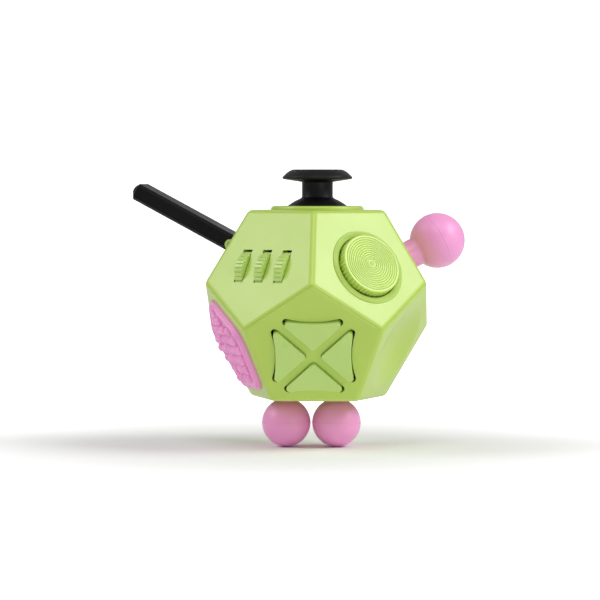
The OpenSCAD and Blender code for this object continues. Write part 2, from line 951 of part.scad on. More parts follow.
module backplate_screws(posts, post_ring, post_start) {
    low = sheet_top - sheet_thickness - backplate_thickness;
    around(posts, post_ring, post_start)
        translate([0, 0, low]) screw(sheet_thickness + backplate_thickness + 2.4);
}

module arrow_key_membrane() {
    color(white) placed() on_face(keys_az, -tilt) translate([0, keys_middle, 0])
        membrane(key_plate_radius, 4, key_dome_place, 0, 2.4, 4, key_post_ring, 0);
}

module arrow_key_backplate() {
    color(white) placed() on_face(keys_az, -tilt) translate([0, keys_middle, 0])
        backplate(key_plate_radius, 4, key_post_ring, 0);
}

module arrow_key_screws() {
    color(steel) placed() on_face(keys_az, -tilt) translate([0, keys_middle, 0])
        backplate_screws(4, key_post_ring, 0);
}

// ---- Click keys ----

module click_key(i) {
    round = 0.5;
    color(leaf) placed() on_face(click_az, -tilt)
        rotate([0, 0, 90 + side_turn * i])
            translate([click_ring, 0, 0]) {
                translate([0, 0, flange_low])
                    cylinder(r = click_radius + click_flange, h = flange_thickness);
                translate([0, 0, flange_low])
                    cylinder(r = click_radius, h = click_proud - round - flange_low);
                translate([0, 0, click_proud - round])
                    cylinder(r1 = click_radius, r2 = click_radius - round, h = round);
            }
}

module click_key_membrane() {
    color(white) placed() on_face(click_az, -tilt)
        membrane(backplate_radius, 5, click_ring, 90, 2, 5, click_post_ring, 90 + 36);
}

module click_key_backplate() {
    color(white) placed() on_face(click_az, -tilt) backplate(backplate_radius, 5, click_post_ring, 90 + 36);
}

module click_key_screws() {
    color(steel) placed() on_face(click_az, -tilt) backplate_screws(5, click_post_ring, 90 + 36);
}

// ---- Massage pad ----

module pad_outline(grow) {
    offset(r = pad_corner + grow)
        offset(delta = -pad_corner)
            rotate(90) circle(pad_inradius / cos(36), $fn = 5);
}

// Whether a point on the pad is at least this far inside its five sides
function on_pad(p, limit) =
    max([for (i = [0:4]) p[0] * cos(-90 + side_turn * i) + p[1] * sin(-90 + side_turn * i)]) < limit;

module massage_pad() {
    row = nub_pitch * sqrt(3) / 2;
    spots = [for (j = [-4:4], i = [-4:4])
        let (p = [nub_pitch * (i + (j % 2 == 0 ? 0 : 0.5)), row * j])
        if (on_pad(p, pad_inradius - nub_margin)) p];
    color(rose) placed() on_face(pad_az, -tilt) {
        difference() {
            translate([0, 0, -pad_depth]) linear_extrude(pad_depth + border_top) pad_outline(0);
            translate([0, 0, groove_low])
                linear_extrude(border_top) offset(delta = -border_width) pad_outline(0);
        }
        translate([0, 0, -bite])
            linear_extrude(pad_top + bite)
                offset(delta = -border_width - groove_width) pad_outline(0);
        for (p = spots)
            translate([p[0], p[1], 0]) {
                cylinder(r = nub_radius, h = nub_height - nub_radius, $fn = 32);
                translate([0, 0, nub_height - nub_radius]) sphere(nub_radius, $fn = 32);
            }
        around(3, peg_ring, 90) {
            translate([0, 0, -wall - bite]) cylinder(r = peg_radius, h = wall);
            translate([0, 0, -wall - over]) cylinder(r = peg_radius + 0.6, h = over);
        }
    }
}

// ---- Lever ----

module lever_bar_section(inset) {
    half_w = lever_width / 2 - inset;
    half_t = lever_thickness / 2 - inset;
    polygon([
        [half_w, half_t - lever_bevel], [half_w - lever_bevel, half_t],
        [lever_bevel - half_w, half_t], [-half_w, half_t - lever_bevel],
        [-half_w, lever_bevel - half_t], [lever_bevel - half_w, -half_t],
        [half_w - lever_bevel, -half_t], [half_w, lever_bevel - half_t]]);
}

module flip_lever() {
    length = lever_reach - lever_pivot;
    color(black) placed() on_face(lever_az, tilt)
        translate([0, lever_offset, lever_pivot]) difference() {
            union() {
                linear_extrude(length - lever_tip_bevel) lever_bar_section(0);
                hull() {
                    translate([0, 0, length - lever_tip_bevel - bite])
                        linear_extrude(bite) lever_bar_section(0);
                    translate([0, 0, length - bite])
                        linear_extrude(bite) lever_bar_section(lever_tip_bevel);
                }
                across(lever_thickness / 2, lever_width);
            }
            across(lever_pin_radius + running_gap, 2 * lever_width);
        }
}

module lever_hinge_pin() {
    color(steel) placed() on_face(lever_az, tilt)
        translate([0, lever_offset, lever_pivot])
            across(lever_pin_radius, lever_width + 2 * (lever_side_gap + lug_thickness) + 0.4);
}

// ---- Balls ----

module bounce_ball() {
    color(rose) placed() on_face(ball_az, tilt) {
        translate([0, 0, bend_height]) sphere(neck_radius - bend_gap);
        translate([0, 0, bend_height]) cylinder(r = neck_radius, h = ball_reach - bend_height);
        translate([0, 0, ball_reach]) sphere(ball_radius);
    }
}

// Plug that holds the ball in the wall, dished where the neck bends
module bounce_ball_anchor() {
    color(rose) placed() on_face(ball_az, tilt) difference() {
        union() {
            translate([0, 0, -wall - anchor_thickness])
                cylinder(r = neck_radius + anchor_flange, h = anchor_thickness);
            translate([0, 0, -wall - bite]) cylinder(r = neck_radius, h = wall + 2 * bite);
        }
        translate([0, 0, bend_height]) sphere(neck_radius);
    }
}

module on_twin(side) {
    translate([twin_shift + side * twin_spacing / 2, 0, -inr]) children();
}

module twin_ball(side) {
    color(rose) placed() on_twin(side) translate([0, 0, -twin_drop]) sphere(twin_radius);
}

module twin_ball_anchor(side) {
    color(rose) placed() on_twin(side) {
        translate([0, 0, wall]) cylinder(r = twin_neck + anchor_flange, h = anchor_thickness);
        translate([0, 0, twin_dish]) cylinder(r = twin_neck, h = wall - twin_dish + bite);
        translate([0, 0, twin_pivot]) sphere(twin_tip);
    }
}

module steel_ball() {
    color(steel) placed() on_face(steel_az, -tilt)
        translate([0, 0, -steel_depth]) sphere(roller_radius);
}

module steel_ball_cup() {
    seat = roller_radius + steel_gap;
    flange = 1.2;
    low = -steel_depth - seat - 1;
    color(white) placed() on_face(steel_az, -tilt) difference() {
        union() {
            translate([0, 0, low]) cylinder(r = seat + cup_thickness, h = -wall - low);
            translate([0, 0, -wall - flange]) cylinder(r = cup_flange_ring + 1.3, h = flange);
        }
        translate([0, 0, -steel_depth]) {
            sphere(seat);
            cylinder(r = seat, h = steel_depth);
        }
        around(3, cup_flange_ring, 90)
            translate([0, 0, -wall - flange - over])
                cylinder(r = screw_radius + press_gap, h = flange + 2 * over);
    }
}

module steel_ball_cup_screws() {
    flange = 1.2;
    color(steel) placed() on_face(steel_az, -tilt)
        around(3, cup_flange_ring, 90)
            translate([0, 0, -wall - flange]) screw(flange + 1.4);
}

// ---- Rocker ----

// Section of the rocker: round ends about the pin, and a saddle between them for the finger
module rocker_section() {
    steps = 6;
    sweep = rocker_end_angle - rocker_low_angle;
    right = [for (i = [0:steps])
        let (a = rocker_low_angle + sweep * i / steps)
        [rocker_radius * cos(a), rocker_radius * sin(a)]];
    left = [for (i = [steps:-1:0]) [-right[i][0], right[i][1]]];
    bottom = -rocker_pin_radius - 1.2;
    polygon(concat([[-3, bottom], [3, bottom]], right, [[0, rocker_saddle]], left));
}

module rocker_switch() {
    color(leaf) placed() on_face(rocker_az, tilt)
        translate([0, 0, -rocker_depth])
            rotate([rocker_lean, 0, 0]) difference() {
                rotate([90, 0, 90])
                    linear_extrude(rocker_width, center = true) rocker_section();
                across(rocker_pin_radius + running_gap, 2 * rocker_width);
            }
}

module rocker_pin() {
    color(steel) placed() on_face(rocker_az, tilt)
        translate([0, 0, -rocker_depth])
            across(rocker_pin_radius, rocker_width + 2 * (rocker_side_gap + ear_thickness));
}

// ---- Nodes ----

upper_shell();
lower_shell();
joystick_cap();
joystick_shaft();
joystick_cross_pin();
gimbal_ring();
joystick_base();
joystick_return_spring();
joystick_base_screws();
toothed_roller(-1);  // toothed_roller_left
toothed_roller(0);  // toothed_roller_middle
toothed_roller(1);  // toothed_roller_right
roller_axle();
roller_cradle();
roller_cradle_screws();
dial_knob();
dial_retaining_clip();
arrow_key(0);  // arrow_key_right
arrow_key(1);  // arrow_key_up
arrow_key(2);  // arrow_key_left
arrow_key(3);  // arrow_key_down
arrow_key_membrane();
arrow_key_backplate();
arrow_key_screws();
massage_pad();
flip_lever();
lever_hinge_pin();
bounce_ball();
bounce_ball_anchor();
twin_ball(-1);  // twin_ball_left
twin_ball(1);  // twin_ball_right
twin_ball_anchor(-1);  // twin_ball_anchor_left
twin_ball_anchor(1);  // twin_ball_anchor_right
rocker_switch();
rocker_pin();
steel_ball();
steel_ball_cup();
steel_ball_cup_screws();
click_key(0);  // click_key_1
click_key(1);  // click_key_2
click_key(2);  // click_key_3
click_key(3);  // click_key_4
click_key(4);  // click_key_5
click_key_membrane();
click_key_backplate();
click_key_screws();
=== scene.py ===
# Twelve-sided fidget toy: moulded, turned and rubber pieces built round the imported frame.
import json
import math
import random

import bpy
from mathutils import Matrix, Vector

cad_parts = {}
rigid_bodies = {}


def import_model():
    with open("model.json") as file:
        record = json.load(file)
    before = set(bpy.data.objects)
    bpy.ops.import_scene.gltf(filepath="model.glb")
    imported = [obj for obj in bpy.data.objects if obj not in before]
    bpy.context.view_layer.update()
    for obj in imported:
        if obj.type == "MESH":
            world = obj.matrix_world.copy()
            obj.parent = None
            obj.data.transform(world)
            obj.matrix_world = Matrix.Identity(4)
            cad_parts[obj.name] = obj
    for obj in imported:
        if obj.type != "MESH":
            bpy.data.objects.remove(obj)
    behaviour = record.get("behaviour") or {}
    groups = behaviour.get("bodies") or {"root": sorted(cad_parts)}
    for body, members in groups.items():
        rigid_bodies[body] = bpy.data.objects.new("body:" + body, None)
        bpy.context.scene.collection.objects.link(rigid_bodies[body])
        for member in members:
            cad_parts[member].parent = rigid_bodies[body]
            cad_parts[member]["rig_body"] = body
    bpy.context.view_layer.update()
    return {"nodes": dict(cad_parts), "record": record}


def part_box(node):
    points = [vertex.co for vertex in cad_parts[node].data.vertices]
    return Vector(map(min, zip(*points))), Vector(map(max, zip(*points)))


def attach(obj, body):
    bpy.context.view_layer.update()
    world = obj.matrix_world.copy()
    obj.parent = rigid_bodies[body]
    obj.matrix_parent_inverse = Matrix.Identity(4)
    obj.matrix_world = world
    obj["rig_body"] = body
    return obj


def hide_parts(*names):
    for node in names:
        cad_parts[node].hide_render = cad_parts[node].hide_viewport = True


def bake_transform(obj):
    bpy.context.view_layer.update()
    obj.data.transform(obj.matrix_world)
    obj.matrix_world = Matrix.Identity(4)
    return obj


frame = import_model()
bpy.ops.object.select_all(action="DESELECT")
print("frame loaded:", len(frame["nodes"]), "parts")

mm = 0.001

# The case: half its width in millimetres, the lean of its side faces, and how far its edges are broken
case = {"halfWidth": 25, "lean": math.degrees(math.atan(0.5)), "softEdge": 0.08}

# The joystick, with heights over the top face. The foot's points are out from the stem and up from the
# pivot, the flank's are in from the rim and up from the underside, and the dish's are in and down
stick = {
    "pivotDepth": 8.7, "skirt": 12.5, "skirtLow": 4, "skirtWall": 1,
    "stem": 4.1, "foot": ((0.1, 11.95), (0, 12.15)),
    "cap": 9.3, "top": 10.65, "thick": 3.3, "lip": 0.4, "shoulder": 0.6, "dishEdge": 0.35, "softEdge": 0.1,
    "flank": ((0.55, 1.85), (1.25, 2.5), (1.9, 2.95)), "dish": ((4.7, 0.62), (5.6, 0.82), (7.2, 0.98)),
    "dishDeep": 1.05, "notch": (3.2, 1.0, 0.4), "notchIn": 3.2,
}

# The faces that get new pieces: each one's turn round the case, and whether it leans up or down
faceTurn = {"dial": (-54, 1), "ball": (18, 1), "keys": (-90, -1), "pad": (-162, -1)}


def findCaseCentre():
    # the joystick stands over the middle of the case, and its top is a known height over it
    low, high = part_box("joystick_cap")
    down = (case["halfWidth"] + stick["top"]) * mm
    return Vector(((low.x + high.x) / 2, (low.y + high.y) / 2, high.z - down))


caseCentre = findCaseCentre()


def facePlace(name):
    # from a face's own right, up and out to the toy's frame, with the zero in the middle of the face
    turn, side = faceTurn[name]
    a, e = math.radians(turn), math.radians(case["lean"] * side)
    out = Vector((math.cos(a) * math.cos(e), math.sin(a) * math.cos(e), math.sin(e)))
    right = Vector((-math.sin(a), math.cos(a), 0))
    place = Matrix((right, out.cross(right), out)).transposed().to_4x4()
    place.translation = caseCentre + out * case["halfWidth"] * mm
    return place


def onFace(name, x, y, z):
    return facePlace(name) @ Vector((x * mm, y * mm, z * mm))


# The camera: its turn and height round the toy in degrees, and how far it stands off in millimetres
cameraSet = {"turn": 2.7, "height": 2.19, "distance": 801, "lens": 180.8, "shift": (-0.029, 0.0062)}


def addCamera():
    a, e = math.radians(cameraSet["turn"]), math.radians(cameraSet["height"])
    back = Vector((math.sin(a) * math.cos(e), -math.cos(a) * math.cos(e), math.sin(e)))
    bpy.ops.object.camera_add(location=caseCentre + back * cameraSet["distance"] * mm)
    camera = bpy.context.object
    camera.rotation_euler = (-back).to_track_quat("-Z", "Y").to_euler()
    camera.data.lens = cameraSet["lens"]
    camera.data.shift_x, camera.data.shift_y = cameraSet["shift"]
    camera.data.clip_start = 0.01
    bpy.context.scene.camera = camera


def toLinear(code):
    values = [int(code[i:i + 2], 16) / 255 for i in (1, 3, 5)]
    return [v / 12.92 if v <= 0.04045 else ((v + 0.055) / 1.055) ** 2.4 for v in values] + [1]


def addNode(tree, kind, inputs=None, **settings):
    node = tree.nodes.new(kind)
    for name, value in settings.items():
        setattr(node, name, value)
    for socket, value in (inputs or {}).items():
        if isinstance(value, bpy.types.NodeSocket):
            tree.links.new(value, node.inputs[socket])
        else:
            node.inputs[socket].default_value = value
    return node


# Soft boxes: where each stands from the case's middle in metres, its size and its power
softBoxes = {
    "rightBox": {"from": (0.76, -0.15, 0.65), "size": 0.50, "power": 4.7},
    "leftBox": {"from": (-0.80, -0.08, 0.60), "size": 0.45, "power": 2.5},
    "topBox": {"from": (0.00, -0.60, 1.00), "size": 0.50, "power": 2.2},
    "frontBox": {"from": (0.50, -0.70, 0.00), "size": 0.40, "power": 0.9},
}
# The paper sweep in metres, the light of the room, and where the paper starts and ends to wash out
stageSet = {"floor": 3.0, "wallHeight": 2.4, "bend": 0.8, "bendSteps": 24, "paper": "#FAFAFA", "sky": 0.34,
            "glow": 0.85, "glowFrom": 0.03, "glowTo": 0.2}


def addStage():
    # a floor that sweeps up into a back wall
    half = stageSet["floor"] / 2
    bpy.ops.mesh.primitive_plane_add(size=stageSet["floor"])
    floor = bpy.context.object
    floor.name = "paperSweep"
    bpy.ops.object.mode_set(mode="EDIT")
    bpy.ops.mesh.select_mode(type="EDGE")
    bpy.ops.mesh.select_all(action="DESELECT")
    bpy.ops.object.mode_set(mode="OBJECT")
    for edge in floor.data.edges:
        edge.select = all(floor.data.vertices[v].co.y > half - mm for v in edge.vertices)
    bpy.ops.object.mode_set(mode="EDIT")
    bpy.ops.mesh.extrude_region_move(
        TRANSFORM_OT_translate={"value": (0, 0, stageSet["wallHeight"])})
    bpy.ops.object.mode_set(mode="OBJECT")
    bend = floor.modifiers.new("bend", "BEVEL")
    bend.width = stageSet["bend"]
    bend.segments = stageSet["bendSteps"]
    bpy.ops.object.modifier_apply(modifier="bend")
    bpy.ops.object.shade_smooth()
    paper = bpy.data.materials.new("matt white paper")
    paper.use_nodes = True
    tree = paper.node_tree
    surface = tree.nodes["Principled BSDF"]
    surface.inputs["Base Color"].default_value = toLinear(stageSet["paper"])
    surface.inputs["Roughness"].default_value = 0.9
    surface.inputs["Emission Color"].default_value = toLinear("#FFFFFF")
    # the paper looks washed out by light away from the toy, without lighting the toy itself
    spot = addNode(tree, "ShaderNodeTexCoord").outputs["Object"]
    away = addNode(tree, "ShaderNodeVectorMath", {0: spot}, operation="LENGTH").outputs["Value"]
    glow = addNode(tree, "ShaderNodeMapRange",
                   {"Value": away, "From Min": stageSet["glowFrom"], "From Max": stageSet["glowTo"],
                    "To Min": 0.0, "To Max": stageSet["glow"]}, interpolation_type="SMOOTHSTEP")
    seen = addNode(tree, "ShaderNodeLightPath").outputs["Is Camera Ray"]
    strength = addNode(tree, "ShaderNodeMath", {0: glow.outputs["Result"], 1: seen}, operation="MULTIPLY")
    tree.links.new(strength.outputs["Value"], surface.inputs["Emission Strength"])
    floor.data.materials.append(paper)


def addLights():
    for name, box in softBoxes.items():
        away = Vector(box["from"])
        bpy.ops.object.light_add(type="AREA", location=caseCentre + away)
        light = bpy.context.object
        light.name = name
        light.rotation_euler = (-away).to_track_quat("-Z", "Y").to_euler()
        light.data.size = box["size"]
        light.data.energy = box["power"]
    world = bpy.data.worlds.new("pale studio")
    world.use_nodes = True
    sky = world.node_tree.nodes["Background"]
    sky.inputs["Color"].default_value = (1, 1, 1, 1)
    sky.inputs["Strength"].default_value = stageSet["sky"]
    bpy.context.scene.world = world
    bpy.context.scene.view_settings.view_transform = "Standard"


addCamera()
addStage()
addLights()
print("camera, floor and light set")


def newMaterial(name, colour, roughness, **shader):
    made = bpy.data.materials.new(name)
    made.use_nodes = True
    surface = made.node_tree.nodes["Principled BSDF"]
    surface.inputs["Base Color"].default_value = toLinear(colour)
    surface.inputs["Roughness"].default_value = roughness
    for socket, value in shader.items():
        surface.inputs[socket.replace("_", " ")].default_value = value
    return made


driftSpread = 0.35  # how far either side of its middle the noise runs from the dark to the light colour


def shadeColour(made, light, dark, size):
    # slow drift of the colour over the surface, as pigment settles in a moulding; size is in millimetres
    tree = made.node_tree
    spot = addNode(tree, "ShaderNodeTexCoord").outputs["Object"]
    drift = addNode(tree, "ShaderNodeTexNoise", {"Vector": spot, "Scale": 1000 / size, "Detail": 3.0})
    ramp = addNode(tree, "ShaderNodeValToRGB", {"Fac": drift.outputs["Fac"]})
    ramp.color_ramp.elements[0].position = 0.5 - driftSpread
    ramp.color_ramp.elements[1].position = 0.5 + driftSpread
    ramp.color_ramp.elements[0].color = toLinear(dark)
    ramp.color_ramp.elements[1].color = toLinear(light)
    tree.links.new(ramp.outputs["Color"], tree.nodes["Principled BSDF"].inputs["Base Color"])


def addGrain(made, grain, height, strength, low, high):
    # the skin the mould leaves: a bump of the grain's size in millimetres, and a gloss that changes with it
    tree = made.node_tree
    surface = tree.nodes["Principled BSDF"]
    spot = addNode(tree, "ShaderNodeTexCoord").outputs["Object"]
    skin = addNode(tree, "ShaderNodeTexNoise", {"Vector": spot, "Scale": 1000 / grain, "Detail": 4.0})
    bump = addNode(tree, "ShaderNodeBump",
                   {"Height": skin.outputs["Fac"], "Distance": height * mm, "Strength": strength})
    tree.links.new(bump.outputs["Normal"], surface.inputs["Normal"])
    rub = addNode(tree, "ShaderNodeTexNoise",
                  {"Vector": spot, "Scale": 1000 / (grain * 30), "Detail": 5.0})
    gloss = addNode(tree, "ShaderNodeMapRange",
                    {"Value": rub.outputs["Fac"], "From Min": 0.3, "From Max": 0.7,
                     "To Min": low, "To Max": high})
    tree.links.new(gloss.outputs["Result"], surface.inputs["Roughness"])


# Injection-moulded ABS from a spark-eroded mould: a satin skin, light glowing a little through the edges
absGlow = {"Subsurface_Weight": 0.12, "Subsurface_Scale": 0.0012, "Coat_Weight": 0.6}
limeAbs = newMaterial("lime ABS, satin moulded", "#BAD855", 0.36, Coat_Roughness=0.34, **absGlow)
shadeColour(limeAbs, "#BDDB59", "#B7D551", 22)
addGrain(limeAbs, 0.45, 0.02, 0.25, 0.33, 0.42)

# The same plastic from a smoother mould, with a milkier batch of pigment: the keys, rollers and rocker
keyAbs = newMaterial("pale lime ABS, smooth moulded", "#C0E076", 0.30, Coat_Roughness=0.28, **absGlow)
shadeColour(keyAbs, "#C3E27A", "#BDDD72", 12)
addGrain(keyAbs, 0.4, 0.012, 0.2, 0.27, 0.36)

# ABS turned on a lathe after moulding: fine rings catch the light
dialAbs = newMaterial("bright lime ABS, turned", "#C4E264", 0.32, Coat_Roughness=0.3, **absGlow)
shadeColour(dialAbs, "#C7E568", "#C0DE60", 9)
addGrain(dialAbs, 0.4, 0.012, 0.2, 0.28, 0.38)

# Pigmented silicone rubber: waxy, soft light inside, dust dulls it in patches
pinkSilicone = newMaterial("pink silicone, moulded", "#FFA4DC", 0.42, Subsurface_Weight=0.3,
                           Subsurface_Scale=0.002, Subsurface_Radius=(1.0, 0.5, 0.7),
                           Coat_Weight=0.7, Coat_Roughness=0.4)
shadeColour(pinkSilicone, "#FFA8DF", "#FE9FD8", 10)
addGrain(pinkSilicone, 0.5, 0.015, 0.25, 0.36, 0.5)

# Soft-touch rubber with a fine matt skin: grey sheen where the light grazes it
blackRubber = newMaterial("black soft-touch rubber", "#0B0B0E", 0.40, Specular_IOR_Level=0.28)
shadeColour(blackRubber, "#0D0D11", "#09090C", 8)
addGrain(blackRubber, 0.35, 0.02, 0.3, 0.36, 0.5)

# Black ABS, satin: hairline scuffs along its faces from thumbs and pockets
blackAbs = newMaterial("black ABS, satin moulded", "#060608", 0.34, Specular_IOR_Level=0.2)
shadeColour(blackAbs, "#09090B", "#050506", 14)
addGrain(blackAbs, 0.4, 0.015, 0.25, 0.28, 0.42)

# Bearing steel, ground and polished: a mirror with faint rolling marks
ballSteel = newMaterial("bearing steel, polished", "#C9CBCE", 0.12, Metallic=1.0)
addGrain(ballSteel, 0.6, 0.002, 0.15, 0.08, 0.18)

# Zinc-plated steel: duller and slightly blue
zincSteel = newMaterial("zinc-plated steel", "#B4B8BD", 0.35, Metallic=1.0)
addGrain(zincSteel, 0.5, 0.006, 0.3, 0.3, 0.45)

# Natural acetal and white silicone inside the case: milky, with a slight gloss
whiteAcetal = newMaterial("natural acetal, moulded", "#EDEDE6", 0.35, Subsurface_Weight=0.2,
                          Subsurface_Scale=0.0015)
addGrain(whiteAcetal, 0.5, 0.01, 0.2, 0.3, 0.42)
whiteSilicone = newMaterial("white silicone, moulded", "#E8E8E4", 0.5, Subsurface_Weight=0.3,
                            Subsurface_Scale=0.002)
addGrain(whiteSilicone, 0.5, 0.015, 0.25, 0.45, 0.6)

slotMaterial = {
    "case_plastic": limeAbs, "key_plastic": keyAbs, "dial_plastic": dialAbs, "stick_rubber": blackRubber,
    "lever_plastic": blackAbs, "pink_silicone": pinkSilicone, "membrane_silicone": whiteSilicone,
    "inner_plastic": whiteAcetal, "zinc_steel": zincSteel, "polished_steel": ballSteel,
}


def nodeSlot(name):
    return next(p["material_slot"] for p in frame["record"]["subparts"] if p["node"] == name)


def nodeBody(name):
    return frame["nodes"][name]["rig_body"]


def coatFrame():
    for name, part in frame["nodes"].items():
        part.data.materials.clear()
        part.data.materials.append(slotMaterial[nodeSlot(name)])


coatFrame()
print("materials ready")


def makeActive(piece):
    if bpy.context.object and bpy.context.object.mode == "EDIT":
        bpy.ops.object.mode_set(mode="OBJECT")
    bpy.ops.object.select_all(action="DESELECT")
    piece.select_set(True)
    bpy.context.view_layer.objects.active = piece


def applyModifier(piece, kind, **settings):
    makeActive(piece)
    made = piece.modifiers.new(kind.lower(), kind)
    for name, value in settings.items():
        setattr(made, name, value)
    bpy.ops.object.modifier_apply(modifier=made.name)


def settle(piece, place):
    # puts the piece's place into its mesh
    makeActive(piece)
    piece.matrix_world = place
    bpy.ops.object.transform_apply(location=True, rotation=True, scale=True)


def standIn(piece, material, nodes, bends=False):
    # gives a piece its finish, its body and the parts that it stands for; one that bends is given no body
    piece.data.materials.clear()
    piece.data.materials.append(material)
    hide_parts(*nodes)
    if not bends:
        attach(piece, nodeBody(nodes[0]))


# How near two points are made one, in millimetres, and the bend under which a copied part is flat
weld = {"copy": 0.002, "turned": 0.001, "flat": 0.3}
smoothAngle = {"turned": 38, "dial": 60, "keys": 40, "pad": 45}  # sharper bends than these stay creases


def refined(nodeName, edge, angle=35, segments=2):
    # a welded copy of a part, with its sharp edges broken as a mould does
    piece = bpy.data.objects.new(nodeName + "_moulded", frame["nodes"][nodeName].data.copy())
    bpy.context.scene.collection.objects.link(piece)
    makeActive(piece)
    bpy.ops.mesh.customdata_custom_splitnormals_clear()
    bpy.ops.object.mode_set(mode="EDIT")
    bpy.ops.mesh.select_all(action="SELECT")
    bpy.ops.mesh.remove_doubles(threshold=weld["copy"] * mm)
    bpy.ops.mesh.dissolve_limited(angle_limit=math.radians(weld["flat"]))
    bpy.ops.object.mode_set(mode="OBJECT")
    applyModifier(piece, "BEVEL", width=edge * mm, segments=segments, limit_method="ANGLE",
                  angle_limit=math.radians(angle), use_clamp_overlap=True)
    bpy.ops.object.shade_smooth_by_angle(angle=math.radians(angle))
    applyModifier(piece, "WEIGHTED_NORMAL", keep_sharp=True)
    standIn(piece, slotMaterial[nodeSlot(nodeName)], [nodeName])
    return piece


def startPoint(name, x, z):
    # a new piece that is one point, open in edit mode, to draw from
    bpy.ops.object.select_all(action="DESELECT")
    bpy.ops.mesh.primitive_plane_add(size=mm)
    piece = bpy.context.object
    piece.name = name
    bpy.ops.object.mode_set(mode="EDIT")
    bpy.ops.mesh.select_mode(type="VERT")
    bpy.ops.mesh.select_all(action="SELECT")
    bpy.ops.mesh.merge(type="CENTER")
    bpy.ops.transform.translate(value=(x * mm, 0, z * mm))
    return piece


def turned(name, profile, steps=96):
    # draws half a section point by point and spins it round the upright axis
    piece = startPoint(name, *profile[0])
    for (x0, z0), (x1, z1) in zip(profile, profile[1:]):
        bpy.ops.mesh.extrude_region_move(
            TRANSFORM_OT_translate={"value": ((x1 - x0) * mm, 0, (z1 - z0) * mm)})
    bpy.ops.mesh.select_all(action="SELECT")
    bpy.ops.mesh.spin(steps=steps, angle=2 * math.pi, center=(0, 0, 0), axis=(0, 0, 1))
    bpy.ops.mesh.select_all(action="SELECT")
    bpy.ops.mesh.remove_doubles(threshold=weld["turned"] * mm)
    bpy.ops.mesh.normals_make_consistent(inside=False)
    bpy.ops.object.mode_set(mode="OBJECT")
    bpy.ops.object.shade_smooth_by_angle(angle=math.radians(smoothAngle["turned"]))
    return piece


def arc(x, z, radius, start, end, steps):
    # points along part of a circle, with its angles in degrees
    turns = [math.radians(start + (end - start) * i / steps) for i in range(steps + 1)]
    return [(x + radius * math.cos(t), z + radius * math.sin(t)) for t in turns]


def filledOutline(name, outline):
    # a flat face with this outline, drawn corner by corner, open in edit mode
    piece = startPoint(name, outline[0][0], 0)
    bpy.ops.transform.translate(value=(0, outline[0][1] * mm, 0))
    for (x0, y0), (x1, y1) in zip(outline, outline[1:]):
        bpy.ops.mesh.extrude_region_move(
            TRANSFORM_OT_translate={"value": ((x1 - x0) * mm, (y1 - y0) * mm, 0)})
    bpy.ops.mesh.select_all(action="SELECT")
    bpy.ops.mesh.edge_face_add()
    bpy.ops.mesh.normals_make_consistent(inside=False)
    return piece


def roundedOutline(corners, radius, steps=6):
    # rounds each corner of a closed outline with an arc; corners run anticlockwise
    made = []
    count = len(corners)
    for i, corner in enumerate(corners):
        here = Vector(corner)
        back = (Vector(corners[i - 1]) - here).normalized()
        ahead = (Vector(corners[(i + 1) % count]) - here).normalized()
        half = back.angle(ahead) / 2
        if half > math.radians(80):  # nearly straight on
            made.append(tuple(here))
            continue
        middle = here + (back + ahead).normalized() * radius / math.sin(half)
        first = here + back * radius / math.tan(half) - middle
        sweep = math.pi - 2 * half
        for k in range(steps + 1):
            turn = Matrix.Rotation(sweep * k / steps, 2)
            made.append(tuple(middle + turn @ first))
    return made


# The dial: its place on its face and its size. A groove's points are parts of the way to the next ring,
# and parts of the groove's depth
dial = {
    "right": 0.6, "up": -1.1, "radius": 8.35, "top": 2.3, "low": -0.4, "foot": 0.3, "rimEdge": 0.45,
    "rings": 11, "ringDeep": 0.22, "ringStart": 0.9, "ringEnd": 0.75,
    "groove": ((0, 0), (0.22, 0.8), (0.34, 1), (0.46, 0.8), (0.68, 0)),
    "pip": ((0.5, 0), (0.32, 0.12), (0, 0.18)),
    "notches": 48, "notchDeep": 0.28, "linesPerNotch": 4,
}


def dialPlace():
    return facePlace("dial") @ Matrix.Translation((dial["right"] * mm, dial["up"] * mm, 0))


# The raised ring round the dial: its section is part of a circle, with fine ridges turned on it
dialRing = {"middle": 9.55, "round": 1.1, "rise": 0.45, "ridges": 5, "ridge": 0.09, "ridgeSteps": 8,
            "share": 0.97, "over": 0.01, "sunk": 0.3, "steps": 128}


def ringProfile():
    width = math.sqrt(dialRing["round"] ** 2 - (dialRing["round"] - dialRing["rise"]) ** 2)
    half = width * dialRing["share"]
    count = dialRing["ridges"] * dialRing["ridgeSteps"]
    section = []
    for i in range(count + 1):
        across = half * (2 * i / count - 1)
        skin = dialRing["rise"] - dialRing["round"] + math.sqrt(dialRing["round"] ** 2 - across ** 2)
        ridge = dialRing["ridge"] * (1 - math.cos(2 * math.pi * i / dialRing["ridgeSteps"])) / 2
        section.append((dialRing["middle"] + across, skin + dialRing["over"] + ridge))
    return [(section[0][0], -dialRing["sunk"])] + section + [(section[-1][0], -dialRing["sunk"])]


def buildCase():
    refined("lower_shell", case["softEdge"])
    shell = refined("upper_shell", case["softEdge"])
    ring = turned("dial_ring", ringProfile(), dialRing["steps"])
    settle(ring, dialPlace())
    ring.data.materials.append(limeAbs)
    makeActive(shell)
    ring.select_set(True)
    bpy.ops.object.join()


buildCase()
print("case shells refined")


